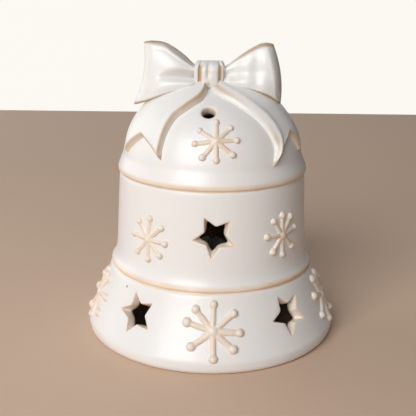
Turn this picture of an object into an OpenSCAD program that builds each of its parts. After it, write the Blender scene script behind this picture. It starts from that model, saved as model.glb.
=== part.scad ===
// Porcelain bell with pierced stars, snowflake sprigs and a modelled bow.
// Millimetres. The rim stands on z = 0, the bell's axis is x = y = 0, +Z is up and -Y is the front.

/* [Bell wall] */
// Radius of the skirt at its widest
skirt_r = 50.5; // [50:0.1:51]
// Radius of the edge where the waist stands on the skirt
step_r = 40.6; // [40.3:0.1:40.9]
// Height of that edge
step_z = 28.2; // [27.8:0.1:28.6]
// Radius at the foot of the waist
waist_low_r = 38.1; // [37.9:0.1:38.3]
// Radius at the top of the waist
waist_top_r = 36.7; // [36.5:0.1:36.8]
// Height of the edge where the dome sits on the waist
collar_z = 65.7; // [65.3:0.1:66.1]
// Radius of that edge
collar_r = 37.1; // [37:0.1:37.3]
// Radius of the dome at its springing
dome_r = 35.5; // [35.4:0.1:35.6]
// Height of the crown, under the bow
crown_z = 100; // [99.6:0.1:100.4]
// Thickness of the slip-cast wall
wall = 4; // [3.6:0.1:4.2]

/* [Piercings] */
// Radius of a star at the outer face, to its points
star_r = 8.2; // [7.6:0.1:8.6]
// How much the star narrows through the wall, as a fraction of its size
star_taper = 0.3; // [0.2:0.05:0.35]
// Diameter of the vent hole in the crown
vent_d = 5; // [4:0.5:6]

/* [Sprigs] */
// Height of the snowflake arms above the wall
relief = 0.9; // [0.7:0.1:1.2]
// Reach of a skirt snowflake, from its middle to the bead at an arm's end
skirt_flake = 9.8; // [9.4:0.1:9.8]
// Reach of a waist snowflake
waist_flake = 7.7; // [7.2:0.1:7.7]
// Reach of a dome snowflake
dome_flake = 7.3; // [6.8:0.1:7.6]

/* [Bow] */
// Thickness of the ribbon tails on the dome
ribbon_t = 1.8; // [1.4:0.1:2.2]
// Roundness of the loops' edges
loop_round = 3.2; // [3:0.1:3.4]

/* [Clapper] */
// Height of the pin that the clapper swings on
pivot_z = 79; // [78:0.5:80]
// Distance from that pin to the middle of the ball
clapper_l = 52; // [50:0.5:52]
// Diameter of the clapper's ball
ball_d = 18; // [16:0.5:18]
// Gap between a turning pin and the hole it turns in
running_gap = 0.05; // [0.02:0.01:0.08]

/* [Hidden] */

$fn = 64;

foot_z = 4.4;           // height of the skirt's widest ring
foot_r = skirt_r - 2.5; // the ring that the bell stands on
dome_z = 68;            // middle of the dome's ellipse
step_edge = 1;          // height of the rolled edge at each step
dome_start = 7;         // angle up the ellipse where the dome leaves the collar
star_notch = 0.5;       // radius between a star's points, as a share of the radius to them
waist_star_z = 48.6;
skirt_star_z = 17.4;
skirt_flake_z = 15.4;
waist_flake_z = 46;
dome_flake_z = 82.8;
arm_root = 0.12;        // half the width of a snowflake's arm at its root, as a share of the reach
arm_end = 0.08;         // and at its end
bead_share = 0.16;      // radius of the bead at an arm's end, as a share of the reach
middle_share = 0.22;    // radius of the snowflake's middle, as a share of the reach
waist_lean = 2;         // how far the waist's outward direction tips up
skirt_lean = 27;        // and the skirt's
dome_lean = 30;         // and the dome's, at its snowflakes
vent_lean = 51;
vent_az = -4;
vent_z = 91.7;
boss_r = 8;
boss_z = 87;
shaft_r = 1.5;
ferrule_r = 3;
flange_r = 4.6;
flange_t = 1.2;
shoulder_z = 92;        // top of the ferrule, where the swivel pin's head rides
yoke_top = pivot_z + 5;
eye_r = 2.6;
eye_t = 2.6;
yoke_pin_r = 0.9;
cheek_x = 3;            // half the width of the yoke, outside its cheeks
stem_r = 1.1;
ball_r = ball_d / 2;
ball_z = pivot_z - clapper_l;
nut_h = 2.4;
cream = "ivory";
brass = "goldenrod";

// Azimuths run from the front (-Y) towards +X.
// Each star is [azimuth, turn], each snowflake [azimuth, height, turn].
waist_stars = [[1.5, 188], [94, 8], [181, 182], [-94, -6]];
skirt_stars = [[-39, -21], [41.5, -26], [130, -7], [-130, 12]];
waist_flakes = [[-38.8, waist_flake_z - 1, 5], [44.2, waist_flake_z + 0.4, 1],
                [137, waist_flake_z, 8], [-138, waist_flake_z, 2]];
skirt_flakes = [[0.9, skirt_flake_z, 3], [78, skirt_flake_z, 14],
                [179, skirt_flake_z, 8], [-78, skirt_flake_z, -10]];
dome_flakes = [[2, dome_flake_z, 3.2], [180, dome_flake_z, 8]];

// ---- curves -----------------------------------------------------------------

// Points along a quadratic curve from a to c, pulled towards b
function bend(a, b, c, n) =
    [for (i = [0:n]) let (t = i / n) (1 - t) * (1 - t) * a + 2 * t * (1 - t) * b + t * t * c];

// Points up a quarter ellipse, from an angle to the crown
function dome_curve(a, b, from, n) =
    [for (i = [0:n]) let (t = from + (90 - from) * i / n) [a * cos(t), dome_z + b * sin(t)]];

// Outside of the bell as [radius, height], with everything moved out by grow
function outside(grow = 0) = concat(
    [[0, 0], [foot_r + grow, 0], [skirt_r - 0.7 + grow, 1.4]],
    bend([skirt_r + grow, foot_z], [skirt_r - 6.3 + grow, 17.5], [step_r + 0.1 + grow, step_z - 0.8], 7),
    [[step_r + grow, step_z + step_edge]],
    bend([step_r - 0.4 + grow, step_z + 1.8], [waist_low_r + 0.1 + grow, step_z + 3.6],
         [waist_low_r + grow, 37], 3),
    [[waist_top_r + grow, collar_z - step_edge], [collar_r + grow, collar_z],
     [collar_r + grow, collar_z + 1.3]],
    dome_curve(dome_r + grow, crown_z - dome_z + grow, dome_start, 11));

// Inside of the bell, which follows the outside without its edges
inside = concat(
    [[0, -1], [skirt_r - wall - 0.5, -1], [skirt_r - wall - 0.5, 3]],
    bend([skirt_r - wall - 0.6, 5], [skirt_r - wall - 6.6, 17], [waist_low_r - wall + 1, step_z + 3], 5),
    [[waist_low_r - wall, 38]],
    dome_curve(dome_r - wall, crown_z - wall - dome_z, 0, 9));

wall_table = [for (p = outside()) if (p[1] > 0) [p[1], p[0]]];
function wall_r(z) = lookup(z, wall_table);

// ---- placing on the wall ------------------------------------------------------

// Puts its children on the bell's outside: x along the girth, y up the wall, z outwards
module on_wall(azimuth, z, lean = 0)
    rotate([0, 0, azimuth]) translate([0, -wall_r(z), z]) rotate([90 - lean, 0, 0]) children();

module bell_solid(grow = 0) rotate_extrude($fn = 128) polygon(outside(grow));

// A star with five points, one of them up the wall
module star(r) polygon([for (i = [0:9]) let (s = i % 2 == 0 ? r : star_notch * r)
    [s * sin(36 * i), s * cos(36 * i)]]);

// A star cut that narrows inwards through the wall
module star_cut(azimuth, z, lean, turn) {
    depth = wall + 3;
    over = 1;
    slope = star_r * star_taper / wall;
    inner_r = star_r - slope * depth;
    outer_r = star_r + slope * over;
    on_wall(azimuth, z, lean) rotate([0, 0, -turn]) translate([0, 0, -depth])
        linear_extrude(height = depth + over, scale = outer_r / inner_r) star(inner_r);
}

// A press-moulded snowflake luted to the wall: eight tapered arms, a bead on each, a boss in the middle
module snowflake(azimuth, z, lean, turn, reach) {
    root = arm_root * reach;
    end = arm_end * reach;
    color(cream) difference() {
        union() {
            intersection() {
                on_wall(azimuth, z, lean)
                    for (i = [0:7]) rotate([0, 0, -turn - 45 * i]) translate([0, 0, -3])
                        linear_extrude(height = 6)
                            polygon([[-root, 0], [root, 0], [end, reach], [-end, reach]]);
                bell_solid(relief);
            }
            on_wall(azimuth, z, lean) sphere(r = middle_share * reach, $fn = 32);
            for (i = [0:7]) {
                across = reach * sin(turn + 45 * i);
                up = reach * cos(turn + 45 * i) * cos(lean);
                on_wall(azimuth + across / wall_r(z + up) * 180 / PI, z + up)
                    sphere(r = bead_share * reach, $fn = 32);
            }
        }
        bell_solid();
    }
}

// ---- the bell -----------------------------------------------------------------

module bell_shell() color(cream) difference() {
    bell_solid();
    rotate_extrude($fn = 128) polygon(inside);
    for (s = waist_stars) star_cut(s[0], waist_star_z, waist_lean, s[1]);
    for (s = skirt_stars) star_cut(s[0], skirt_star_z, skirt_lean, s[1]);
    on_wall(vent_az, vent_z, vent_lean) translate([0, 0, -wall - 4]) cylinder(d = vent_d, h = wall + 8);
}

module crown_boss() color(cream) difference() {
    intersection() {
        translate([0, 0, boss_z]) cylinder(r = boss_r, h = 12);
        rotate_extrude($fn = 128) polygon(inside);
    }
    translate([0, 0, boss_z - 1]) cylinder(r = ferrule_r, h = shoulder_z + 3 - boss_z);
}

module hanger_ferrule() color(brass) difference() {
    union() {
        translate([0, 0, boss_z - flange_t]) cylinder(r = flange_r, h = flange_t);
        translate([0, 0, boss_z]) cylinder(r = ferrule_r, h = shoulder_z - boss_z);
    }
    translate([0, 0, boss_z - 3]) cylinder(r = shaft_r + running_gap, h = 12);
}

// ---- the bow ------------------------------------------------------------------

module bead(at, r) translate(at) sphere(r = r, $fn = 24);

module knot_solid() hull() {
    for (x = [-4.2, 1.8], z = [101.6, 105.2]) bead([x, -8.6, z], 3.3);
    for (x = [-3.6, 1.2], z = [101.6, 104.6]) bead([x, -2, z], 3);
}

module bow_knot() color(cream) difference() {
    knot_solid();
    bell_solid(ribbon_t);
}

module bow_loop_left() color(cream) difference() {
    hull() {
        bead([-6, -4, 104], 2.9);
        bead([-6, -4, 101.4], 2.9);
        bead([-15.4, -2.6, 110.9], loop_round);
        bead([-23, -1.8, 112], loop_round);
        bead([-24.3, -2, 104], loop_round + 0.4);
        bead([-27.4, -3.4, 95.3], loop_round);
        bead([-16, -4.6, 103], 5);
    }
    knot_solid();
    bell_solid(ribbon_t);
}

module bow_loop_right() color(cream) difference() {
    hull() {
        bead([4, -4, 104], 2.9);
        bead([4, -4.2, 101.5], 2.9);
        bead([13, -2.6, 110.1], loop_round);
        bead([19.1, -1.8, 112], loop_round);
        bead([21.4, -2.3, 103], loop_round + 0.25);
        bead([22.9, -3.4, 94.9], loop_round);
        bead([13.7, -4.6, 103.3], 5);
    }
    knot_solid();
    bell_solid(ribbon_t);
}

// A ribbon tail lies on the dome. It is cut out of a layer on the dome by its front view, which gives
// the inner edge and the swallowtail, and by its plan, which gives the edge at the back.
module tail(front, plan) color(cream) difference() {
    intersection() {
        bell_solid(ribbon_t);
        translate([0, 6, 0]) rotate([90, 0, 0]) linear_extrude(height = 50) polygon(front);
        translate([0, 0, 70]) linear_extrude(height = 35) polygon(plan);
    }
    bell_solid();
}

module bow_tail_left() tail(
    front = [[-1.2, 104], [-1.2, 98.4], [-3.9, 95.2], [-9.5, 92.1], [-14.1, 89.2], [-16.4, 85.9],
             [-17.7, 82.2], [-18.4, 78.5], [-18.1, 75], [-20.6, 77.4], [-23, 80.4], [-25.2, 82],
             [-28, 79.6], [-31.3, 74.4], [-35, 75.6], [-40, 80], [-40, 104]],
    plan = [[0, -30], [-20, -45], [-45, -45], [-45, -9], [-36, -13], [-33.5, -13], [-29, -8.2],
            [-24.5, -3.6], [-19, 1.4], [-10, 4.5], [0, 5]]);

module bow_tail_right() tail(
    front = [[-1.2, 104], [-1.2, 98.4], [2.4, 97.2], [8, 94.7], [13, 92.4], [17, 89.4], [19.4, 86],
             [20.8, 82.6], [21.4, 78.8], [21.6, 72.8], [25.4, 76.6], [28.9, 82.6], [31, 80],
             [33, 75.4], [36, 75], [40, 80], [40, 104]],
    plan = [[-2, -30], [20, -45], [45, -45], [45, -9], [36, -12.4], [33.5, -12.4], [29, -7.4],
            [24.5, -3], [19, 1.8], [10, 4.6], [-2, 5]]);

// ---- the clapper --------------------------------------------------------------

module swivel_pin() color(brass) {
    translate([0, 0, yoke_top]) cylinder(r = shaft_r, h = shoulder_z + running_gap - yoke_top);
    translate([0, 0, shoulder_z + running_gap]) cylinder(r = 2.4, h = 1.4);
}

module swivel_yoke() color(brass) difference() {
    union() {
        translate([0, 0, yoke_top - 1.6]) cylinder(r = 4.2, h = 1.6);
        translate([-cheek_x, -eye_r, pivot_z]) cube([2 * cheek_x, 2 * eye_r, yoke_top - 1 - pivot_z]);
        translate([-cheek_x, 0, pivot_z]) rotate([0, 90, 0]) cylinder(r = eye_r, h = 2 * cheek_x);
    }
    translate([-eye_t / 2 - 0.2, -6, pivot_z - 4]) cube([eye_t + 0.4, 12, 4 + eye_r + 0.4]);
    translate([-5, 0, pivot_z]) rotate([0, 90, 0]) cylinder(r = yoke_pin_r, h = 10);
}

module yoke_pin() color(brass) {
    translate([-cheek_x, 0, pivot_z]) rotate([0, 90, 0]) cylinder(r = yoke_pin_r, h = 2 * cheek_x);
    for (side = [-1, 1]) translate([side * cheek_x, 0, pivot_z]) rotate([0, side * 90, 0])
        cylinder(r1 = 1.5, r2 = 1.1, h = 0.7);
}

module clapper_stem() color(brass) difference() {
    union() {
        translate([-eye_t / 2, 0, pivot_z]) rotate([0, 90, 0]) cylinder(r = eye_r, h = eye_t);
        translate([0, 0, ball_z - ball_r - nut_h]) cylinder(r = stem_r, h = clapper_l + ball_r + nut_h - 1.6);
    }
    translate([-eye_t, 0, pivot_z]) rotate([0, 90, 0]) cylinder(r = yoke_pin_r + running_gap, h = 2 * eye_t);
}

module clapper_ball() color(cream) difference() {
    translate([0, 0, ball_z]) sphere(r = ball_r);
    translate([0, 0, ball_z - ball_r - 1]) cylinder(r = stem_r, h = ball_d + 2);
}

module clapper_nut() color(brass) difference() {
    translate([0, 0, ball_z - ball_r - nut_h]) cylinder(r = 2.6, h = nut_h, $fn = 6);
    translate([0, 0, ball_z]) sphere(r = ball_r);
    translate([0, 0, ball_z - ball_r - nut_h - 1]) cylinder(r = stem_r, h = nut_h + 3);
}

// ---- nodes --------------------------------------------------------------------

bell_shell();
crown_boss();
hanger_ferrule();
bow_knot();
bow_loop_left();
bow_loop_right();
bow_tail_left();
bow_tail_right();
snowflake(dome_flakes[0][0], dome_flakes[0][1], dome_lean, dome_flakes[0][2], dome_flake);  // dome_snowflake_front
snowflake(dome_flakes[1][0], dome_flakes[1][1], dome_lean, dome_flakes[1][2], dome_flake);  // dome_snowflake_back
for (i = [1:4]) {
    w = waist_flakes[i - 1];
    s = skirt_flakes[i - 1];
    snowflake(w[0], w[1], waist_lean, w[2], waist_flake);
    snowflake(s[0], s[1], skirt_lean, s[2], skirt_flake);
}
swivel_pin();
swivel_yoke();
yoke_pin();
clapper_stem();
clapper_ball();
clapper_nut();
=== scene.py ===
import math

import bpy
import numpy as np
from mathutils import Matrix, Vector


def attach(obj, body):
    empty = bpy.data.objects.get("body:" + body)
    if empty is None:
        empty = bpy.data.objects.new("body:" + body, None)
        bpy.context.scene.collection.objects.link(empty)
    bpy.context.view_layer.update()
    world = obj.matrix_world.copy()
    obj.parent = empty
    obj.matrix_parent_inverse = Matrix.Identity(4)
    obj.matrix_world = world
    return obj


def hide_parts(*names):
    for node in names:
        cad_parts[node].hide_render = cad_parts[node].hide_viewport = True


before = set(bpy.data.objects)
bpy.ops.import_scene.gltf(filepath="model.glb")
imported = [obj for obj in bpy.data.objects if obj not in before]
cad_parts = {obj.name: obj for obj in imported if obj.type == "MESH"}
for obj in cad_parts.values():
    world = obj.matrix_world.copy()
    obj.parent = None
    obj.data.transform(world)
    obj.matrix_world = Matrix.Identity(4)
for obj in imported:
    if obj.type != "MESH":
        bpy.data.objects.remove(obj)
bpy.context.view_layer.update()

MM = 0.001

# ---- the bell's outline, in millimetres ------------------------------------------
# These are part.scad's driving sizes, with the edges softened as the glaze softens them.

SKIRT_R, FOOT_Z = 50.42, 4.4
STEP_R, STEP_Z = 40.6, 27.8
WAIST_LOW_R, WAIST_TOP_R = 38.1, 36.7
COLLAR_R, COLLAR_Z = 37.1, 65.45
DOME_R, DOME_Z, CROWN_Z = 35.5, 68.0, 99.95
WALL, FOOT_WALL = 4.0, 2.2
LINE_STEP = 0.05       # spacing of the outline's points
EDGE_SOFT = 0.32       # how far the glaze softens an edge
COLUMNS = 300          # grid columns round the bell
DEG = 360 / COLUMNS


def bend(a, b, c, n=60):
    """Points along a quadratic curve from a to c, pulled towards b."""
    t = np.linspace(0, 1, n)[:, None]
    a, b, c = (np.array(p, float) for p in (a, b, c))
    return (1 - t) ** 2 * a + 2 * t * (1 - t) * b + t ** 2 * c


def smooth_line(points, spacing, sigma):
    """Resamples a polyline evenly and rounds its corners, keeping both ends."""
    points = np.array(points, float)
    run = np.r_[0, np.cumsum(np.linalg.norm(np.diff(points, axis=0), axis=1))]
    even = np.arange(0, run[-1], spacing)
    line = np.stack([np.interp(even, run, points[:, k]) for k in range(2)], axis=1)
    reach = int(4 * sigma / spacing)
    kernel = np.exp(-0.5 * (np.arange(-reach, reach + 1) * spacing / sigma) ** 2)
    kernel /= kernel.sum()
    head = 2 * line[0] - line[reach:0:-1]
    tail = 2 * line[-1] - line[-2:-reach - 2:-1]
    padded = np.vstack([head, line, tail])
    return np.stack([np.convolve(padded[:, k], kernel, "valid") for k in range(2)], axis=1)


def dome_line(start=7, n=200):
    t = np.radians(np.linspace(start, 90, n))
    return np.stack([DOME_R * np.cos(t), DOME_Z + (CROWN_Z - DOME_Z) * np.sin(t)], axis=1)


OUTLINE = smooth_line(np.vstack([
    bend((48.2, 0), (50.5, 0.4), (SKIRT_R, FOOT_Z)),
    bend((SKIRT_R, FOOT_Z + 0.5), (SKIRT_R - 6.2, 17.5), (STEP_R + 0.35, STEP_Z - 1.2)),
    [(STEP_R - 0.1, STEP_Z - 0.45), (STEP_R - 0.85, STEP_Z - 0.05), (STEP_R - 0.75, STEP_Z + 0.15),
     (STEP_R - 0.05, STEP_Z + 0.5), (STEP_R + 0.05, STEP_Z + 1.3)],
    bend((STEP_R - 0.1, STEP_Z + 1.8), (WAIST_LOW_R + 0.2, STEP_Z + 3.6), (WAIST_LOW_R, 38)),
    [(WAIST_TOP_R, COLLAR_Z - 1.6), (COLLAR_R - 0.75, COLLAR_Z - 0.45), (COLLAR_R - 0.75, COLLAR_Z - 0.2),
     (COLLAR_R + 0.05, COLLAR_Z + 0.3), (COLLAR_R + 0.1, COLLAR_Z + 1.1)],
    bend((COLLAR_R - 0.1, COLLAR_Z + 2.2), (DOME_R + 0.6, COLLAR_Z + 4.6), (DOME_R - 0.3, 72.2), 20),
    dome_line(),
]), LINE_STEP, EDGE_SOFT)
OUTLINE[-1, 0] = 0.0
RUN = np.r_[0, np.cumsum(np.linalg.norm(np.diff(OUTLINE, axis=0), axis=1))]


def line_direction(line):
    step = np.gradient(line, axis=0)
    return step / np.linalg.norm(step, axis=1)[:, None]


def inside_line():
    """The wall's inside: the outline without its edges, moved in by the wall's thickness."""
    core = smooth_line(OUTLINE, LINE_STEP, 3.0)
    even = np.linspace(0, 1, len(RUN))
    core = np.stack([np.interp(even, np.linspace(0, 1, len(core)), core[:, k]) for k in range(2)], axis=1)
    along = line_direction(core)
    wall = np.interp(OUTLINE[:, 1], [0, FOOT_Z + 1], [FOOT_WALL, WALL + 0.1])
    inside = core - np.stack([along[:, 1], -along[:, 0]], axis=1) * wall[:, None]
    inside = np.maximum(inside, 0)
    foot = OUTLINE[:, 1] < FOOT_Z + 2
    inside[foot, 1] = OUTLINE[foot, 1]
    inside[foot, 0] = OUTLINE[foot, 0] - wall[foot]
    return inside


LINE_DIR = line_direction(OUTLINE)
INSIDE = inside_line()


def run_at(z):
    """Distance along the outline at which the wall reaches a height."""
    return float(np.interp(z, OUTLINE[:, 1], RUN))


def radius_at(z):
    return float(np.interp(z, OUTLINE[:, 1], OUTLINE[:, 0]))


def wobble(azimuth, run):
    """The slight unevenness of a hand-finished wall, never outwards."""
    return -0.07 * (2 + np.sin(3 * azimuth + 0.05 * run + 0.7) + np.sin(2 * azimuth - 0.09 * run + 2.1))


def on_wall(azimuth, run, lift=0.0, depth=0.0):
    """Points on the wall. azimuth in radians from the front towards +X; lift stands off the outside;
    depth runs from 0 at the outside to 1 at the inside."""
    azimuth, run = np.broadcast_arrays(np.asarray(azimuth, float), np.asarray(run, float))
    out_r, out_z = (np.interp(run, RUN, OUTLINE[:, k]) for k in range(2))
    in_r, in_z = (np.interp(run, RUN, INSIDE[:, k]) for k in range(2))
    nr, nz = np.interp(run, RUN, LINE_DIR[:, 1]), -np.interp(run, RUN, LINE_DIR[:, 0])
    off = lift + wobble(azimuth, run) * np.clip((1 - depth) * np.clip(out_z / 3, 0, 1), 0, 1)
    r = out_r + (in_r - out_r) * depth + nr * off
    z = out_z + (in_z - out_z) * depth + nz * off
    return np.stack([r * np.sin(azimuth), -r * np.cos(azimuth), z], axis=-1)


def smoothstep(lo, hi, x):
    t = np.clip((x - lo) / (hi - lo), 0, 1)
    return t * t * (3 - 2 * t)


# ---- mesh building -----------------------------------------------------------------

def outward(verts, faces):
    """Turns every face over if the solid that they close is inside out."""
    corners = np.concatenate([f[:, [0, k, k + 1]] for f in faces for k in range(1, f.shape[1] - 1)])
    a, b, c = (verts[corners[:, k]] for k in range(3))
    volume = np.einsum("ij,ij->i", a, np.cross(b, c)).sum()
    return [f[:, ::-1] for f in faces] if volume < 0 else faces


def make_object(name, verts, faces, tan=None, bare=None):
    """An object from points in millimetres. tan: where the glaze breaks thin; bare: where there is none."""
    verts = np.asarray(verts, float)
    faces = outward(verts, [np.asarray(f) for f in faces if len(f)])
    corners = np.concatenate([f.ravel() for f in faces])
    sizes = np.concatenate([np.full(len(f), f.shape[1]) for f in faces]).astype(np.int32)
    used = np.unique(corners)
    new = np.full(len(verts), -1)
    new[used] = np.arange(len(used))
    mesh = bpy.data.meshes.new(name)
    mesh.vertices.add(len(used))
    mesh.vertices.foreach_set("co", (verts[used] * MM).ravel())
    mesh.loops.add(len(corners))
    mesh.loops.foreach_set("vertex_index", new[corners].astype(np.int32))
    mesh.polygons.add(len(sizes))
    mesh.polygons.foreach_set("loop_start", np.r_[0, np.cumsum(sizes)[:-1]].astype(np.int32))
    mesh.update(calc_edges=True)
    mesh.validate()
    mesh.polygons.foreach_set("use_smooth", np.ones(len(mesh.polygons), bool))
    for label, values in (("tan", tan), ("bare", bare)):
        values = np.zeros(len(verts)) if values is None else np.asarray(values, float).ravel()
        layer = mesh.attributes.new(label, "FLOAT", "POINT")
        layer.data.foreach_set("value", values[used])
    obj = bpy.data.objects.new(name, mesh)
    bpy.context.scene.collection.objects.link(obj)
    return obj


def grid_faces(index, wrap=False):
    """Quads over a grid of vertex numbers; wrap closes the last column to the first."""
    if wrap:
        index = np.concatenate([index, index[:, :1]], axis=1)
    quads = np.stack([index[:-1, :-1], index[:-1, 1:], index[1:, 1:], index[1:, :-1]], axis=-1)
    return quads.reshape(-1, 4)


def closed_sheet(name, top, bottom, tan, keep=None):
    """A solid between two grids of points: the shown top and a hidden bottom. keep marks the cells used."""
    rows, cols = top.shape[:2]
    index = np.arange(rows * cols).reshape(rows, cols)
    cells = np.ones((rows - 1, cols - 1), bool) if keep is None else keep
    quads = grid_faces(index).reshape(rows - 1, cols - 1, 4)[cells]
    edges = dict.fromkeys(map(tuple, np.concatenate([quads[:, [k, (k + 1) % 4]] for k in range(4)])))
    rim = np.array([(a, b) for a, b in edges if (b, a) not in edges])
    shift = rows * cols
    sides = np.stack([rim[:, 1], rim[:, 0], rim[:, 0] + shift, rim[:, 1] + shift], axis=1)
    verts = np.concatenate([top.reshape(-1, 3), bottom.reshape(-1, 3)])
    tans = np.concatenate([np.asarray(tan).ravel(), np.zeros(shift)])
    return make_object(name, verts, [quads, quads[:, ::-1] + shift, sides], tans)


# ---- the shell: a lathed grid with windows for the piercings ---------------------------

def wall_rows():
    """Distances along the outline, closer together at the foot and the two rolled edges."""
    rows, at = [0.0], 0.0
    fine = [(-1, 3.2, 0.45), (STEP_Z - 1.7, STEP_Z + 3.2, 0.25), (COLLAR_Z - 1.7, COLLAR_Z + 2.6, 0.25)]
    while at < RUN[-1] - 1.2:
        z = np.interp(at, RUN, OUTLINE[:, 1])
        at += next((step for lo, hi, step in fine if lo <= z < hi), 0.85)
        rows.append(at)
    return np.array(rows)


ROWS = wall_rows()
STAR_SIDE = 10         # samples along each of a star's ten sides
STAR_WINDOW = (24, 26)  # rows and columns that a star's window takes; their outline has as many samples
STAR_LIP = (0.3, 0.62, 0.85)
STAR_Z = {"waist": 48.6, "skirt": 17.4}
STAR_TURN = {          # azimuth and turn of each star
    "waist": [(1.5, 188), (94, 8), (181, 182), (-94, -6)],
    "skirt": [(-39, -21), (41.5, -26), (130, -7), (-130, 12)]}
STAR_LAYERS = (        # radius, softness, notch, depth through the wall, thin glaze, no glaze
    (9.0, 0.9, 0.50, 0.0, 0.1, 0), (8.5, 0.7, 0.50, 0.02, 0.6, 0), (8.1, 0.6, 0.50, 0.07, 1.7, 0),
    (7.75, 0.7, 0.51, 0.16, 0.9, 0), (7.3, 0.9, 0.53, 0.36, 0.15, 0), (6.8, 1.2, 0.56, 0.62, 0.3, 0),
    (6.45, 1.8, 0.58, 0.8, 1.5, 0), (6.35, 2.1, 0.6, 0.9, 2.0, 0.2), (6.45, 2.1, 0.6, 0.98, 0.6, 1),
    (6.9, 1.8, 0.58, 1.0, 0.2, 1))
VENT_AZIMUTH, VENT_Z, VENT_R = -4.0, 91.7, 2.5
VENT_WINDOW = (12, 18)
VENT_LIP = (0.5,)
VENT_LAYERS = (        # how much wider than the hole, depth, thin glaze, no glaze
    (0.8, 0.0, 0.15, 0), (0.45, 0.02, 0.6, 0), (0.2, 0.07, 1.0, 0), (0.05, 0.15, 0.8, 0),
    (0.0, 0.32, 0.5, 0), (0.0, 0.7, 0.6, 0.5), (0.05, 0.93, 0.3, 1), (0.4, 1.0, 0.2, 1))
INNER_LIP = (0.35, 0.7)


def star_line(radius, turn, soft, notch):
    """A star's outline, 10 * STAR_SIDE points; soft rounds it, notch is how far out its hollows lie."""
    corners = np.radians(np.arange(11) * 36.0 + turn)
    reach = np.where(np.arange(11) % 2 == 0, radius, radius * notch)
    points = np.stack([reach * np.sin(corners), reach * np.cos(corners)], axis=1)
    t = np.linspace(0, 10, 10 * STAR_SIDE, endpoint=False)
    line = np.stack([np.interp(t, np.arange(11), points[:, k]) for k in range(2)], axis=1)
    near = np.arange(-round(3 * soft), round(3 * soft) + 1)
    kernel = np.exp(-0.5 * (near / soft) ** 2)
    kernel /= kernel.sum()
    return sum(w * np.roll(line, k, axis=0) for w, k in zip(kernel, near))


def circle_line(radius, count):
    t = np.linspace(0, 2 * math.pi, count, endpoint=False)
    return radius * np.stack([np.sin(t), np.cos(t)], axis=1)


def window_rim(row, col, rows, cols):
    """The grid corners round a window, clockwise from its top left."""
    top = [(row + rows, col + k) for k in range(cols)]
    right = [(row + rows - k, col + cols) for k in range(rows)]
    bottom = [(row, col + cols - k) for k in range(cols)]
    left = [(row + k, col) for k in range(rows)]
    return np.array(top + right + bottom + left)


def rolled_edge(z, at, above):
    """How thin the glaze runs over a rolled edge that starts at a height."""
    return smoothstep(at - 0.8, at - 0.2, z) * (1 - smoothstep(at + above - 0.7, at + above + 0.6, z))


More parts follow.
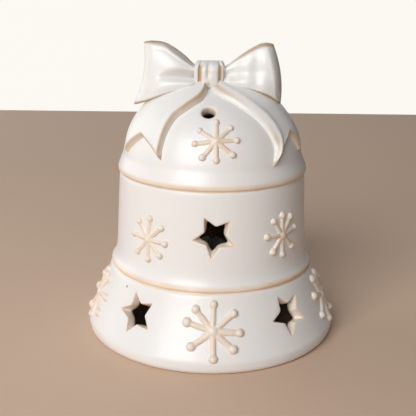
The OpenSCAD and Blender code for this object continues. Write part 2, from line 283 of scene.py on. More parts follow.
class Shell:
    """The shell's mesh as it grows: the wall's outside and inside as two lathed grids, and its windows."""

    def __init__(self):
        rows = len(ROWS)
        azimuths = np.radians(np.arange(COLUMNS) * DEG)
        outer, inner = (on_wall(azimuths[None, :], ROWS[:, None], depth=depth) for depth in (0.0, 1.0))
        z = outer[:, 0, 2]
        band = rolled_edge(z, STEP_Z, 2.3) + rolled_edge(z, COLLAR_Z, 1.9)
        band += 0.35 * np.exp(-((z - 0.6) / 0.7) ** 2)
        self.outside = np.arange(rows * COLUMNS).reshape(rows, COLUMNS)
        self.inside = self.outside + rows * COLUMNS
        self.solid = np.ones((rows - 1, COLUMNS), bool)
        self.verts = [outer.reshape(-1, 3), inner.reshape(-1, 3)]
        self.tan = [np.repeat(band, COLUMNS), np.full(rows * COLUMNS, 0.2)]
        self.bare = [np.repeat((z < 0.12).astype(float), COLUMNS), np.ones(rows * COLUMNS)]
        self.faces = []

    def ring(self, points, tan, bare):
        """Adds a ring of points and gives their numbers."""
        first = sum(len(part) for part in self.verts)
        self.verts.append(points)
        self.tan.append(np.full(len(points), tan))
        self.bare.append(np.full(len(points), bare))
        return np.arange(first, first + len(points))

    def window(self, azimuth, height, size, layers, lip):
        """Opens a window in both grids and fills it down to a hole. size is its rows and columns, layers
        are outlines as (line, depth, tan, bare), and lip the shares of the way to the first of them."""
        a0, scale, middle = math.radians(azimuth), radius_at(height), run_at(height)
        row = int(np.argmin(abs(ROWS - middle))) - size[0] // 2
        col = int(round(azimuth / DEG)) - size[1] // 2
        self.solid[row:row + size[0], np.arange(col, col + size[1]) % COLUMNS] = False
        first, last = layers[0][0], layers[-1][0]
        rim = window_rim(row, col, *size)
        flat = np.stack([(np.radians(rim[:, 1] * DEG) - a0) * scale, ROWS[rim[:, 0]] - middle], axis=1)
        away = np.arctan2(flat[:, 0], flat[:, 1]) - math.atan2(first[0, 0], first[0, 1])
        turned = np.argmin(abs(np.angle(np.exp(1j * away))))
        rim, flat = np.roll(rim, -turned, axis=0), np.roll(flat, -turned, axis=0)

        def add(line, depth, tan, bare):
            return self.ring(on_wall(a0 + line[:, 0] / scale, middle + line[:, 1], depth=depth), tan, bare)

        rings = [self.outside[rim[:, 0], rim[:, 1] % COLUMNS]]
        rings += [add(flat + (first - flat) * share, 0.0, 0.0, 0.0) for share in lip]
        rings += [add(*layer) for layer in layers]
        rings += [add(last + (flat - last) * share, 1.0, 0.2, 1.0) for share in INNER_LIP]
        rings.append(self.inside[rim[:, 0], rim[:, 1] % COLUMNS])
        self.faces.append(grid_faces(np.array(rings), wrap=True)[:, ::-1])

    def close(self):
        """Adds the wall round the windows, the foot ring and the crown."""
        for index, flip in ((self.outside, 1), (self.inside, -1)):
            wall = grid_faces(index, wrap=True).reshape(len(ROWS) - 1, COLUMNS, 4)[self.solid]
            self.faces.append(wall[:, ::flip])
        out_foot, in_foot = self.outside[0], self.inside[0]
        foot = np.stack([out_foot, np.roll(out_foot, -1), np.roll(in_foot, -1), in_foot], axis=1)
        self.faces.append(foot[:, ::-1])
        for index, depth, flip in ((self.outside, 0.0, 1), (self.inside, 1.0, -1)):
            pole = self.ring(on_wall(0.0, RUN[-1], depth=depth)[None, :], 0.0, depth)
            crown = index[-1]
            fan = np.stack([crown, np.roll(crown, -1), np.repeat(pole, COLUMNS)], axis=1)
            self.faces.append(fan[:, ::flip])


def build_shell():
    shell = Shell()
    for level, stars in STAR_TURN.items():
        for azimuth, turn in stars:
            layers = [(star_line(radius, turn, soft, notch), depth, tan, bare)
                      for radius, soft, notch, depth, tan, bare in STAR_LAYERS]
            shell.window(azimuth, STAR_Z[level], STAR_WINDOW, layers, STAR_LIP)
    sides = 2 * sum(VENT_WINDOW)
    layers = [(circle_line(VENT_R + grow, sides), *rest) for grow, *rest in VENT_LAYERS]
    shell.window(VENT_AZIMUTH, VENT_Z, VENT_WINDOW, layers, VENT_LIP)
    shell.close()
    return make_object("porcelain_shell", np.concatenate(shell.verts), shell.faces,
                       np.concatenate(shell.tan), np.concatenate(shell.bare))


# ---- the raised snowflakes ------------------------------------------------------------

FLAKES = {             # reach, azimuth, height, then the direction of each arm, clockwise from straight up
    "skirt_snowflake_1": (9.95, 0.9, 15.6, (2, 53, 96, 134, 179, 232, 286, 319)),
    "skirt_snowflake_2": (9.7, 78, 15.4, (10, 62, 101, 150, 196, 237, 287, 330)),
    "skirt_snowflake_3": (9.5, 179, 15.5, (8, 50, 99, 140, 190, 232, 280, 321)),
    "skirt_snowflake_4": (9.7, -78, 15.4, (-8, 34, 83, 126, 171, 212, 262, 306)),
    "waist_snowflake_1": (7.8, -38.8, 45.0, (5, 48, 93, 133, 177, 221, 274, 322)),
    "waist_snowflake_2": (7.7, 44.2, 46.4, (1, 38, 80, 134, 180, 221, 275, 324)),
    "waist_snowflake_3": (7.7, 137, 46.0, (10, 52, 101, 143, 192, 235, 281, 327)),
    "waist_snowflake_4": (7.7, -138, 46.0, (2, 44, 93, 139, 180, 228, 270, 316)),
    "dome_snowflake_front": (7.3, 2, 82.8, (2, 50, 90, 133, 180, 217, 260, 301)),
    "dome_snowflake_back": (7.3, 180, 82.8, (8, 51, 99, 140, 187, 233, 277, 321)),
}
FLAKE_CELL = 0.18
ARM_WIDTH, ARM_TAPER, RIDGE, BEAD = 0.135, 0.025, 0.105, 0.178      # shares of a snowflake's reach
MIDDLE_WIDTH, MIDDLE_HEIGHT = 0.23, 0.16


def soft_max(parts, sharp):
    parts = np.array(parts)
    top = parts.max(axis=0)
    return top + np.log(np.exp((parts - top) * sharp).sum(axis=0)) / sharp


def mound(distance, width, height):
    """The height of a rounded bead of glaze over a ridge, falling away past its width."""
    u = distance / width
    return np.where(u < 1, height * np.sqrt(np.clip(1 - u * u, 0, 1)), -1.1 * (distance - width))


def flake_height(x, y, reach, arms, rng):
    """The relief of a snowflake: arms with a bead at each end, and a boss in the middle."""
    parts = []
    for direction in arms:
        angle = math.radians(direction)
        length = reach * (1 + rng.normal(0, 0.03))
        ex, ey = math.sin(angle), math.cos(angle)
        along = np.clip(x * ex + y * ey, 0, length)
        across = np.hypot(x - along * ex, y - along * ey)
        width = reach * (ARM_WIDTH - ARM_TAPER * along / length) * (1 + rng.normal(0, 0.08))
        parts.append(mound(across, width, RIDGE * reach))
        bead_r = reach * BEAD * (1 + rng.normal(0, 0.06))
        parts.append(mound(np.hypot(x - length * ex, y - length * ey), bead_r, bead_r * 0.95))
    parts.append(mound(np.hypot(x, y), MIDDLE_WIDTH * reach, MIDDLE_HEIGHT * reach))
    parts.append(np.full_like(x, -0.22))
    return soft_max(parts, 8.0) - 0.05


def build_flake(name, reach, azimuth, height, arms, seed):
    rng = np.random.default_rng(seed)
    half = reach * 1.32
    side = np.arange(-half, half + FLAKE_CELL, FLAKE_CELL)
    x, y = np.meshgrid(side, side)
    rise = flake_height(x, y, reach, arms, rng)
    a = math.radians(azimuth) + x / radius_at(height)
    run = run_at(height) + y
    shown = rise > -0.14
    keep = shown[:-1, :-1] | shown[1:, :-1] | shown[:-1, 1:] | shown[1:, 1:]
    ridge = RIDGE * reach
    # Tan rises with the relief, then halves again over the bead crowns and the middle boss so their tops
    # show cream: that cream is a painted highlight on the beads' tops.
    tan = smoothstep(0.05, 0.65 * ridge, rise) * (1.0 - 0.5 * smoothstep(1.1 * ridge, 1.5 * ridge, rise))
    return closed_sheet(name, on_wall(a, run, lift=rise), on_wall(a, run, lift=-0.9), tan, keep)


# ---- the bow ------------------------------------------------------------------------

def through(points, n):
    """A smooth curve through a few points, evenly spread along it."""
    p = np.array(points, float)
    p = np.vstack([2 * p[0] - p[1], p, 2 * p[-1] - p[-2]])
    fine = []
    for k in range(1, len(p) - 2):
        t = np.linspace(0, 1, 40, endpoint=False)[:, None]
        a, b, c, d = p[k - 1:k + 3]
        fine.append(0.5 * (2 * b + (c - a) * t + (2 * a - 5 * b + 4 * c - d) * t ** 2
                           + (3 * b - a - 3 * c + d) * t ** 3))
    fine = np.vstack(fine + [p[-2:-1]])
    run = np.r_[0, np.cumsum(np.linalg.norm(np.diff(fine, axis=0), axis=1))]
    even = np.linspace(0, run[-1], n)
    return np.stack([np.interp(even, run, fine[:, k]) for k in range(p.shape[1])], axis=1)


def pillow(name, low, high, middle_y, thick, rim, dent, tan, end_round, rows=72, around=96,
           start_round=0.0, bulge=0.0, square=(9, 9), hem=0.0, end_shape=(2, 0.5)):
    """A puffed ribbon loop: sections from the low edge to the high edge, from the knot outwards.
    thick is its half thickness as a function of the distance out (0 to 1), rim that of its edges, and
    dent(s, u) how far the front is pushed in, with u from -1 at the low edge to 1 at the high edge.
    It closes over the shares start_round and end_round, its end bulges along x, square says how full
    the low and high edges are, and hem how far the low edge stands forward."""
    even = np.linspace(0, 1, rows)
    s = (1 - np.cos(math.pi * even)) / 2 if start_round else np.sin(math.pi / 2 * even)
    low, high = (np.stack([np.interp(s, even, line[:, k]) for k in range(2)], axis=1)
                 for line in (through(low, rows), through(high, rows)))
    turn = np.linspace(0, 2 * math.pi, around, endpoint=False)
    u = np.cos(turn)[None, :]
    front = (np.sin(turn) < 0)[None, :]
    mid, half = (low + high) / 2, (high - low) / 2
    e = np.clip((s - (1 - end_round)) / end_round, 0, 1)
    close = np.clip(1 - e ** end_shape[0], 0.0, 1) ** end_shape[1]
    if start_round:
        e = np.clip((start_round - s) / start_round, 0, 1)
        close *= np.sqrt(np.clip(1 - e ** 2.4, 0.0, 1))
    power = np.where(u > 0, square[1], square[0])
    body = (rim(s)[:, None] + (thick(s) - rim(s))[:, None] * (1 - u ** 2)) * np.sqrt(1 - np.abs(u) ** power)
    y = np.where(front, -1, 1) * body * close[:, None]
    y = y + np.where(front, dent(s[:, None], u) * close[:, None], 0)
    shrink = 1 - 0.06 * (1 - close)
    x = mid[:, 0][:, None] + half[:, 0][:, None] * u * shrink[:, None]
    z = mid[:, 1][:, None] + half[:, 1][:, None] * u * shrink[:, None]
    x = x + bulge * (s[:, None] ** 3) * (1 - u ** 2)
    hemmed = smoothstep(0.0, 0.12, s) * (1 - smoothstep(0.6, 1.0, s))
    forward = hem * smoothstep(0.1, -0.75, u) * hemmed[:, None]
    points = np.stack([x, y + middle_y(s)[:, None] - forward, z], axis=-1)
    index = np.arange(rows * around).reshape(rows, around)
    ends = []
    verts = [points.reshape(-1, 3)]
    tans = [tan(s[:, None], u * np.ones((rows, 1)), front).ravel()]
    for row, order in ((0, 1), (rows - 1, -1)):
        if close[row] < 1e-6:
            index[row, around // 2 + 1:] = index[row, around // 2 - 1:0:-1]
            continue
        centre = rows * around + len(ends)
        verts.append(points[row].mean(axis=0)[None, :])
        tans.append(np.zeros(1))
        ring = index[row][::order]
        ends.append(np.stack([ring, np.full(around, centre), np.roll(ring, -1)], axis=1))
    faces = [grid_faces(index, wrap=True)[:, ::-1]] + ends
    return make_object(name, np.concatenate(verts), faces, np.concatenate(tans))


def lower_tan(s, u):
    """The thin line of tan along a loop's lower edge."""
    return smoothstep(-0.87, -0.95, u) * smoothstep(0.02, 0.3, s)


def top_face(u, front):
    """Fades the thin glaze out over the middle of a loop's top face, where it lies thick again."""
    return np.where(front, 1 - 0.8 * smoothstep(0.985, 0.999, u), 0.45 * (1 - smoothstep(0.97, 0.995, u)))


def rim_start(s):
    """Where the left loop's turned-back rim starts: it is widest a third of the way out."""
    return np.interp(s, (0, 0.1, 0.35, 0.5, 0.65, 1), (0.85, 0.80, 0.78, 0.83, 0.90, 0.94))


def left_tan(s, u, front):
    """A broad rolled rim along the top, widest by the knot, and a thin line below."""
    start = rim_start(s)
    rim = smoothstep(start - 0.05, start + 0.02, u) * (0.42 + 0.58 * smoothstep(0.92, 0.98, u))
    # The tan along the rim is the glaze breaking over the edge; its fading from the knot outwards is painted
    # shade, for the shade that the rim lies in beside the knot.
    rim = rim * (1.0 - 0.2 * s)
    return np.maximum(rim * top_face(u, front), lower_tan(s, u) * np.where(front, 1, 0.4))


def right_tan(s, u, front):
    """A line of tan along the top and another below."""
    rim = smoothstep(0.86, 0.93, u) * smoothstep(-0.1, 0.5, s)
    return np.maximum(rim * top_face(u, front), lower_tan(s, u) * np.where(front, 1, 0.4))


def left_dent(s, u):
    """The deep fold beside the knot: soft from the top, ending in a sharp lip on the belly below."""
    lip = -0.36 + 0.14 * s
    room = np.clip(1 - s / 0.72, 0, 1)
    pocket = smoothstep(lip - 0.06, lip + 0.06, u)
    pocket = pocket * (1 - smoothstep(lip + 0.08, lip + 0.18 + 0.95 * room, u))
    crest = 0.45 * np.exp(-((u - lip + 0.2) / 0.15) ** 2) * np.clip(1 - s / 0.9, 0, 1)
    start = rim_start(s)
    turned = 1.3 * smoothstep(start, 1.0, u) - 0.45 * np.exp(-((u - start + 0.04) / 0.06) ** 2)
    hem = 0.5 * np.exp(-((u + 0.86) / 0.07) ** 2)
    return 7.8 * room ** 1.1 * pocket - crest + turned - hem


def right_dent(s, u):
    """A shallow hollow beside the knot and a soft wave down the middle of the loop."""
    deep = 2.3 * np.clip(1 - s / 0.6, 0, 1) ** 1.2
    hollow = deep * np.exp(-((u - 0.1) / 0.42) ** 2)
    wave = 0.8 * np.exp(-((s - 0.60 - 0.1 * u) / 0.10) ** 2) * (1 - u ** 2)
    hem = 0.5 * np.exp(-((u + 0.86) / 0.07) ** 2) + 0.4 * np.exp(-((u - 0.84) / 0.07) ** 2)
    return hollow + wave - 0.4 * np.exp(-((s - 0.4) / 0.12) ** 2) * (1 - u ** 2) - hem


def build_loops():
    left = pillow(
        "ribbon_loop_left",
        low=[(-5.4, 99.2), (-8.5, 98.2), (-13, 97.1), (-18.4, 95.4), (-24, 93.0), (-30.6, 90.4)],
        high=[(-5.4, 105.4), (-7.6, 107.0), (-10.4, 109.6), (-14.2, 112.4), (-19, 114.7), (-26.2, 115.1)],
        middle_y=lambda s: -6.4 + 2.6 * s,
        thick=lambda s: 4.6 + 1.7 * np.sin(math.pi * np.clip(s * 1.1, 0, 1)),
        rim=lambda s: 2.6 + 0.9 * np.sin(math.pi * s),
        dent=left_dent, tan=left_tan, end_round=0.16, bulge=1.8, square=(9, 5), hem=2.8)
    right = pillow(
        "ribbon_loop_right",
        low=[(3.2, 99.6), (6.2, 99.2), (10.2, 98.5), (16, 97.0), (21.4, 94.8), (25.9, 91.0)],
        high=[(3.2, 105.4), (5.2, 106.6), (9.6, 109.9), (13.3, 112.4), (17.6, 114.6), (22.2, 115.1)],
        middle_y=lambda s: -5.9 + 0.9 * s,
        thick=lambda s: 4.3 + 1.9 * smoothstep(0.05, 0.75, s),
        rim=lambda s: 2.4 + 1.5 * smoothstep(0.1, 0.8, s),
        dent=right_dent, tan=right_tan, end_round=0.15, bulge=1.5, square=(9, 7), hem=2.6,
        end_shape=(1.6, 0.7))
    return left, right


KNOT_X, KNOT_HALF = -1.6, 5.9
KNOT_CREVICES = ((-5.2, 0.55, 1.6), (2.55, 0.6, 1.6))


def knot_x(s, u):
    """Where a point of the knot lies across it; the knot is narrower at its foot."""
    return KNOT_X + KNOT_HALF * u * (1 - 0.16 * smoothstep(0.4, 0.0, s))


def knot_dent(s, u):
    """A crevice inside each rolled edge, a groove up the middle and a dimple at the foot."""
    x = knot_x(s, u)
    dent = sum(depth * np.exp(-((x - at) / width) ** 2) for at, width, depth in KNOT_CREVICES)
    groove = 1.0 * np.exp(-((x + 1.9) / 0.8) ** 2) * smoothstep(0.3, 0.6, s)
    dimple = 0.8 * np.exp(-((x + 1.8) / 0.9) ** 2 - ((s - 0.17) / 0.09) ** 2)
    return dent + groove + dimple


def knot_tan(s, u, front):
    """Thin glaze in the crevices and the groove."""
    x = knot_x(s, u)
    marks = sum(1.1 * np.exp(-((x - at) / 0.7) ** 2) for at, _, _ in KNOT_CREVICES)
    marks = marks + 0.3 * np.exp(-((x + 1.9) / 0.6) ** 2)
    return marks * front * smoothstep(0.08, 0.2, s) * (1 - smoothstep(0.8, 0.92, s))


def build_knot():
    """The knot: a short barrel of ribbon with a groove down its middle and a rolled edge each side."""
    rows = 60
    left = through([(-5.9, 97.9), (-7.2, 100.4), (-7.4, 103.6), (-7.3, 106.4), (-6.2, 108.3)], rows)
    right = through([(3.0, 97.9), (4.0, 100.4), (4.2, 103.6), (4.3, 106.4), (3.6, 108.3)], rows)
    return pillow("ribbon_knot", left, right, middle_y=lambda s: -7.2 + 0 * s,
                  thick=lambda s: 5.6 + 0.3 * np.sin(math.pi * s), rim=lambda s: 4.2 + 0 * s,
                  dent=knot_dent, tan=knot_tan, rows=rows, around=160, start_round=0.25, end_round=0.3)


CROWN_RUN = RUN[-1]
TAIL_ROWS, TAIL_COLS = 110, 64
TAIL_START, TAIL_EDGE = 2.2, 1.3      # how far in from its start and its edges a tail is at full height


def unroll(azimuth, height):
    """The dome flattened round its crown, for drawing ribbons on it."""
    reach = CROWN_RUN - np.array([run_at(z) for z in np.atleast_1d(height)])
    a = np.radians(np.atleast_1d(azimuth))
    return np.stack([reach * np.sin(a), -reach * np.cos(a)], axis=1)


def tail_grid(inner, outer, end):
    """A tail drawn flat: rows from the knot to the swallowtail, columns from the inner to the outer edge.
    Also gives how far along each row is and how far across each column."""
    at = np.linspace(0, 1, TAIL_ROWS)
    along = 1 - (1 - at) ** 1.35
    across = 0.5 - 0.5 * np.cos(np.linspace(0, math.pi, TAIL_COLS))
    inner, outer = (through(unroll(*np.array(edge).T), TAIL_ROWS) for edge in (inner, outer))
    inner, outer = (np.stack([np.interp(along, at, edge[:, k]) for k in range(2)], axis=1)
                    for edge in (inner, outer))
    flat = inner[:, None] * (1 - across)[None, :, None] + outer[:, None] * across[None, :, None]
    end = unroll(*np.array(end).T)
    tip = np.stack([np.interp(across, [0, 0.5, 1], end[:, k]) for k in range(2)], axis=1)
    return flat + (tip - flat[-1])[None] * (along ** 3)[:, None, None], along[:, None], across[None, :]


def build_tail(name, inner, outer, end, inner_slope, patches, seed):
    """A ribbon tail on the dome. inner and outer are its edges from the knot down as (azimuth, height),
    end its swallowtail from the inner tip to the outer tip, inner_slope the width of its rounded inner
    edge, and patches how thin the glaze is down that edge."""
    flat, along, across = tail_grid(inner, outer, end)
    step = np.linalg.norm(np.diff(flat, axis=0), axis=2)
    wide = np.linalg.norm(np.diff(flat, axis=1), axis=2)
    from_start = np.vstack([np.zeros((1, TAIL_COLS)), np.cumsum(step, axis=0)])
    from_inner = np.hstack([np.zeros((TAIL_ROWS, 1)), np.cumsum(wide, axis=1)])
    from_outer = from_inner[:, -1:] - from_inner
    from_end = (from_start[-1] - from_start) * (1 - 0.35 * np.abs(across - 0.5) * 2)
    edges = np.minimum(np.minimum(from_inner / inner_slope, from_start / TAIL_START),
                       np.minimum(from_outer, from_end) / TAIL_EDGE)
    roundness = 2.2 if inner_slope < 2 else 1.7
    full = np.sqrt(np.clip(1 - (1 - np.clip(edges, 0, 1)) ** roundness, 0, 1))
    folds = 0.22 * np.sin(across * 9.5 + seed) * (1 - 0.5 * along) + 0.25 * np.sin(across * 3.3 + 0.4)
    crown = 1.95 + 0.9 * (1 - along) ** 3 + 0.35 * np.exp(-((from_inner - inner_slope) / 1.6) ** 2)
    rise = -0.3 + full * (0.3 + crown + folds)
    strength = np.interp(along, np.linspace(0, 1, len(patches)), patches)
    line_at, line_width = 0.4 + 0.3 * inner_slope, 0.14 * inner_slope + 0.4
    inner_line = strength * np.exp(-((from_inner - line_at) / line_width) ** 2)
    end_line = 0.9 * np.exp(-((from_end - 0.65) / 0.55) ** 2)
    tan = np.maximum(inner_line, end_line) * smoothstep(0.02, 0.08, along)
    azimuth = np.arctan2(flat[..., 0], -flat[..., 1])
    run = CROWN_RUN - np.hypot(flat[..., 0], flat[..., 1])
    return closed_sheet(name, on_wall(azimuth, run, lift=rise), on_wall(azimuth, run, lift=-1.2), tan)


def build_tails():
    left = build_tail(
        "ribbon_tail_left",
        inner=[(-30, 99.0), (-9.8, 97.6), (-12.5, 94.9), (-22, 92.1), (-29.2, 89.2), (-31.8, 85.9),
               (-32.6, 82.2), (-32.8, 78.5), (-32.6, 75.0)],
        outer=[(-115, 98.4), (-100, 95.5), (-88, 91.5), (-81, 87), (-77, 82.5), (-73, 78.5), (-68.5, 74.4)],
        end=[(-32.6, 75.0), (-52, 81.6), (-67, 74.2)],
        inner_slope=1.3, patches=(1, 1, 1, 0.9, 0.9), seed=0.6)
    right = build_tail(
        "ribbon_tail_right",
        inner=[(-20, 99.2), (-3.5, 98.0), (8, 96.3), (21, 94.2), (28.8, 91.8), (35.2, 89.1), (39.2, 86.2),
               (41.6, 82.7), (42.4, 78.6), (39, 72.6)],
        outer=[(115, 98.4), (100, 95.5), (88, 91.5), (82, 87), (79, 83), (76, 79), (72, 75.2)],
        end=[(39, 72.6), (60.5, 82.6), (71, 75.2)],
        inner_slope=4.2, patches=(1, 0.9, 0.4, 0.05, 0.2, 0.7, 0.15), seed=2.2)
    return left, right


# ---- materials ------------------------------------------------------------------------

class Surface:
    """A material and short ways to add procedural nodes to it."""

    def __init__(self, name):
        self.material = bpy.data.materials.new(name)
        self.material.use_nodes = True
        self.nodes, self.links = self.material.node_tree.nodes, self.material.node_tree.links
        self.shader = self.nodes["Principled BSDF"]
        self.coords = self.nodes.new("ShaderNodeTexCoord").outputs["Object"]

    def put(self, socket, value):
        """Links an output to an input, or sets the input to a number or a colour."""
        if isinstance(value, bpy.types.NodeSocket):
            self.links.new(value, socket)
        elif isinstance(value, tuple) and socket.type == "RGBA":
            socket.default_value = (*value, 1.0)
        else:
            socket.default_value = value

    def set(self, **inputs):
        """Sets inputs of the surface by name, with _ for a space."""
        for name, value in inputs.items():
            self.put(self.shader.inputs[name.replace("_", " ")], value)

    def noise(self, scale, detail=2.0, rough=0.5):
        node = self.nodes.new("ShaderNodeTexNoise")
        self.put(node.inputs["Scale"], scale)
        self.put(node.inputs["Detail"], detail)
        self.put(node.inputs["Roughness"], rough)
        self.put(node.inputs["Vector"], self.coords)
        return node.outputs["Fac"]

    def math(self, kind, a, b, clamp=False):
        node = self.nodes.new("ShaderNodeMath")
        node.operation = kind
        node.use_clamp = clamp
        self.put(node.inputs[0], a)
        self.put(node.inputs[1], b)
        return node.outputs[0]

    def mix(self, factor, a, b):
        node = self.nodes.new("ShaderNodeMix")
        node.data_type = "RGBA"
        for number, value in ((0, factor), (6, a), (7, b)):
            self.put(node.inputs[number], value)
        return node.outputs[2]

    def ramp(self, value, lo, hi, out_lo=0.0, out_hi=1.0):
        node = self.nodes.new("ShaderNodeMapRange")
        self.put(node.inputs["Value"], value)
        for name, number in (("From Min", lo), ("From Max", hi), ("To Min", out_lo), ("To Max", out_hi)):
            self.put(node.inputs[name], number)
        return node.outputs["Result"]

    def attribute(self, name):
        node = self.nodes.new("ShaderNodeAttribute")
        node.attribute_name = name
        return node.outputs["Fac"]

    def bump(self, height, strength, distance):
        node = self.nodes.new("ShaderNodeBump")
        self.put(node.inputs["Strength"], strength)
        self.put(node.inputs["Distance"], distance)
        self.put(node.inputs["Height"], height)
        self.put(self.shader.inputs["Normal"], node.outputs["Normal"])


CREAM, CREAM_WARM = (0.852, 0.85, 0.838), (0.83, 0.815, 0.795)
SHELL_TAN = ((0.86, 0.72, 0.575), (0.77, 0.60, 0.445))       # light and deep, as the glaze runs thinner
BOW_TAN = ((0.66, 0.475, 0.27), (0.48, 0.32, 0.15))
SPRIG_TAN = ((0.85, 0.72, 0.60), (0.77, 0.61, 0.47))
SHARP_TAN = (0.60, 0.39, 0.17)      # over a cut edge, where the attribute runs past SHARP_FROM
SHARP_FROM = 1.08
IRON = (0.16, 0.11, 0.07)
PIT_COLOUR, PIT_R = (0.10, 0.065, 0.04), 0.00045
BISCUIT, BISCUIT_DARK = (0.33, 0.27, 0.215), (0.264, 0.216, 0.172)
BRASS, BRASS_TARNISHED = (0.56, 0.39, 0.17), (0.26, 0.17, 0.07)
ROOM_PALE, ROOM_WARM = (0.985, 0.955, 0.90), (0.965, 0.93, 0.875)


def iron_specks(surface):
    """Where the few small iron specks in the glaze are."""
    cells = surface.nodes.new("ShaderNodeTexVoronoi")
    surface.put(cells.inputs["Scale"], 62)
    surface.put(cells.inputs["Vector"], surface.coords)
    near = surface.math("LESS_THAN", cells.outputs["Distance"], 0.035)
    rare = surface.math("GREATER_THAN", surface.noise(23, 0), 0.68)
    return surface.math("MULTIPLY", surface.math("MULTIPLY", near, rare), 0.75)


def pinhole(surface, at):
    """Where one pinhole in the glaze is."""
    away = surface.nodes.new("ShaderNodeVectorMath")
    away.operation = "DISTANCE"
    surface.put(away.inputs[0], surface.coords)
    surface.put(away.inputs[1], at)
    return surface.math("MULTIPLY", surface.math("LESS_THAN", away.outputs["Value"], PIT_R), 0.8)


def glaze_material(name, tans=SHELL_TAN, tan_gain=1.0, pit=None):
    """Satin glaze: cream where it lies thick, breaking to tan where it runs thin over an edge."""
    surface = Surface(name)
    cloud = surface.noise(38, 1, 0.4)
    bare = surface.attribute("bare")
    patch = surface.ramp(surface.noise(150), 0.3, 0.7, 0.84, 1.08)
    broken = surface.math("MULTIPLY", surface.attribute("tan"), patch)
    thinned = surface.math("MULTIPLY", broken, tan_gain, clamp=True)
    sharp = surface.math("SUBTRACT", broken, SHARP_FROM, clamp=True)
    body = surface.mix(surface.ramp(cloud, 0.15, 0.85), CREAM, CREAM_WARM)
    edge = surface.mix(surface.ramp(surface.noise(90, 2, 0.4), 0.35, 0.75), *tans)
    colour = surface.mix(sharp, surface.mix(thinned, body, edge), SHARP_TAN)
    colour = surface.mix(iron_specks(surface), colour, IRON)
    if pit is not None:
        colour = surface.mix(pinhole(surface, pit), colour, PIT_COLOUR)
    raw = surface.mix(surface.ramp(surface.noise(420, 3), 0.3, 0.7), BISCUIT, BISCUIT_DARK)
    rough = surface.ramp(cloud, 0.1, 0.9, 0.29, 0.345)
    rough = surface.math("ADD", rough, surface.math("MULTIPLY", thinned, 0.12))
    rough = surface.math("ADD", rough, surface.math("MULTIPLY", bare, 0.5), clamp=True)
    surface.set(Base_Color=surface.mix(bare, colour, raw), Roughness=rough)
    surface.bump(surface.noise(900), 0.25, 0.00006)
    return surface.material


def biscuit_material():
    """Fired porcelain without glaze, for the boss inside the crown."""
    surface = Surface("bare_porcelain")
    grain = surface.noise(700, 4, 0.65)
    surface.set(Base_Color=surface.mix(surface.noise(90), (0.40, 0.33, 0.26), (0.33, 0.27, 0.21)),
                Roughness=surface.ramp(grain, 0.3, 0.7, 0.72, 0.9))
    surface.bump(grain, 0.5, 0.0001)
    return surface.material


def brass_material():
    """Turned brass with fine tool marks and a little tarnish."""
    surface = Surface("turned_brass")
    tarnish = surface.noise(260, 4, 0.6)
    marks = surface.nodes.new("ShaderNodeTexWave")
    marks.bands_direction = "Z"
    surface.put(marks.inputs["Scale"], 900)
    surface.put(marks.inputs["Distortion"], 1.5)
    surface.put(marks.inputs["Vector"], surface.coords)
    surface.set(Base_Color=surface.mix(surface.ramp(tarnish, 0.4, 0.7), BRASS, BRASS_TARNISHED),
                Metallic=1.0, Roughness=surface.ramp(tarnish, 0.35, 0.7, 0.24, 0.48))
    surface.bump(marks.outputs["Fac"], 0.25, 0.00004)
    return surface.material


def floor_material():
    surface = Surface("pale_floor")
    surface.set(Base_Color=surface.mix(surface.noise(6), (0.64, 0.465, 0.345), (0.68, 0.495, 0.37)),
                Roughness=0.7)
    return surface.material


def backdrop_material():
    """A pale wall that glows evenly and casts no light."""
    surface = Surface("pale_backdrop")
    surface.set(Base_Color=(0.0, 0.0, 0.0), Specular_IOR_Level=0.0, Emission_Strength=1.0,
                Emission_Color=surface.mix(surface.noise(0.4, 1), ROOM_PALE, ROOM_WARM))
    return surface.material


def wear(piece, material, body):
    """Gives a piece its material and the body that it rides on."""
    piece.data.materials.clear()
    piece.data.materials.append(material)
    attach(piece, body)


# ---- putting the bell together -----------------------------------------------------------

PIT = tuple(on_wall(math.radians(-50.5), run_at(24.8)) * MM)      # the dark pinhole in the skirt's glaze
shell_glaze = glaze_material("shell_glaze", pit=PIT)
bow_glaze = glaze_material("bow_glaze", BOW_TAN)
sprig_glaze = glaze_material("sprig_glaze", SPRIG_TAN, tan_gain=0.95)
ball_glaze = glaze_material("ball_glaze")
biscuit = biscuit_material()
brass = brass_material()

shell = build_shell()
wear(shell, shell_glaze, "bell")
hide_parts("bell_shell")

for number, (node, (reach, azimuth, height, arms)) in enumerate(FLAKES.items()):
    flake = build_flake("raised_" + node, reach, azimuth, height, arms, seed=40 + number)
    wear(flake, sprig_glaze, "bell")
    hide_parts(node)

for piece, node in ((build_knot(), "bow_knot"), *zip(build_loops(), ("bow_loop_left", "bow_loop_right")),
                    *zip(build_tails(), ("bow_tail_left", "bow_tail_right"))):
    wear(piece, bow_glaze, "bell")
    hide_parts(node)

CARRIED = {"crown_boss": biscuit, "hanger_ferrule": brass, "swivel_pin": brass, "swivel_yoke": brass,
           "yoke_pin": brass, "clapper_stem": brass, "clapper_nut": brass, "clapper_ball": ball_glaze}
for node, material in CARRIED.items():
    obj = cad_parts[node]
    obj.data.materials.clear()
    obj.data.materials.append(material)

# ---- camera, light and floor -----------------------------------------------------------------

CAMERA_AT = (-0.001485, -0.30558, 0.1419)
CAMERA_DOWN = 0.2971
CAMERA_ROLL = 0.0112
FOCAL_IN_WIDTHS = 1.897
SENSOR = 36.0

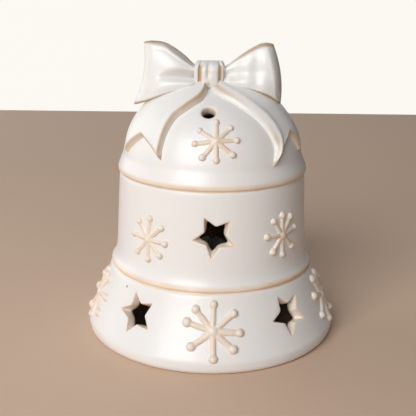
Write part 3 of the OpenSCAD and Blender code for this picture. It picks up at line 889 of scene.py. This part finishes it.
LIGHTS = {             # place, what it points at, size, watts, colour
    "key": ((-0.48, -0.96, 0.66), (0, 0, 0.05), (0.8, 0.8), 13.2, (1.0, 1.0, 1.0)),
    "top": ((0.15, -0.25, 1.15), (0, 0, 0.06), (0.5, 0.5), 0.6, (1.0, 1.0, 0.99)),
    "side": ((-1.1, 0.5, 0.45), (0, 0, 0.07), (0.9, 0.9), 3.5, (1.0, 1.0, 0.99)),
    "wall": ((-0.45, 1.25, 0.42), (0, 0, 0.07), (2.4, 0.9), 5.5, (1.0, 0.99, 0.97)),
}
FILL_COLOUR, FILL_STRENGTH = (1.0, 0.965, 0.93), 0.10
TABLE_BACK, TABLE_SIDE = 490, 750     # the table's back edge, and how far its other edges are
ROOM_R, ROOM_SIDES = 2500, 96
ROOM_LEVELS = (-1500, 0, 1500)


def add_camera():
    lens = bpy.data.cameras.new("camera")
    lens.sensor_width = SENSOR
    lens.lens = SENSOR * FOCAL_IN_WIDTHS
    lens.clip_start = 0.01
    camera = bpy.data.objects.new("camera", lens)
    camera.matrix_world = (Matrix.Translation(CAMERA_AT) @ Matrix.Rotation(math.pi / 2 - CAMERA_DOWN, 4, "X")
                           @ Matrix.Rotation(CAMERA_ROLL, 4, "Z"))
    bpy.context.scene.collection.objects.link(camera)
    bpy.context.scene.camera = camera


def add_light(name, at, target, size, power, colour):
    light = bpy.data.lights.new(name, "AREA")
    light.shape = "RECTANGLE"
    light.size, light.size_y = size
    light.energy = power
    light.color = colour
    obj = bpy.data.objects.new(name, light)
    obj.location = at
    obj.rotation_euler = (Vector(target) - Vector(at)).to_track_quat("-Z", "Y").to_euler()
    bpy.context.scene.collection.objects.link(obj)


def add_fill():
    """Weak even light from all round."""
    world = bpy.data.worlds.new("studio")
    world.use_nodes = True
    background = world.node_tree.nodes["Background"]
    background.inputs["Color"].default_value = (*FILL_COLOUR, 1)
    background.inputs["Strength"].default_value = FILL_STRENGTH
    bpy.context.scene.world = world


def build_floor():
    corners = np.array([(-TABLE_SIDE, -TABLE_SIDE, 0), (TABLE_SIDE, -TABLE_SIDE, 0),
                        (TABLE_SIDE, TABLE_BACK, 0), (-TABLE_SIDE, TABLE_BACK, 0)])
    floor = make_object("floor", corners, [np.array([[0, 1, 2, 3]])])
    floor.data.materials.append(floor_material())
    return floor


def build_backdrop():
    """A round wall, seen by the camera only."""
    turns = np.linspace(0, 2 * math.pi, ROOM_SIDES, endpoint=False)
    ring = ROOM_R * np.stack([np.sin(turns), -np.cos(turns)], axis=1)
    points = np.concatenate([np.column_stack([ring, np.full(ROOM_SIDES, level)]) for level in ROOM_LEVELS])
    index = np.arange(len(points)).reshape(-1, ROOM_SIDES)
    backdrop = make_object("backdrop", points, [grid_faces(index, wrap=True)])
    backdrop.data.materials.append(backdrop_material())
    backdrop.visible_diffuse = backdrop.visible_glossy = backdrop.visible_shadow = False
    return backdrop


add_camera()
for name, settings in LIGHTS.items():
    add_light(name, *settings)
add_fill()
bpy.context.scene.view_settings.view_transform = "Standard"
build_floor()
build_backdrop()
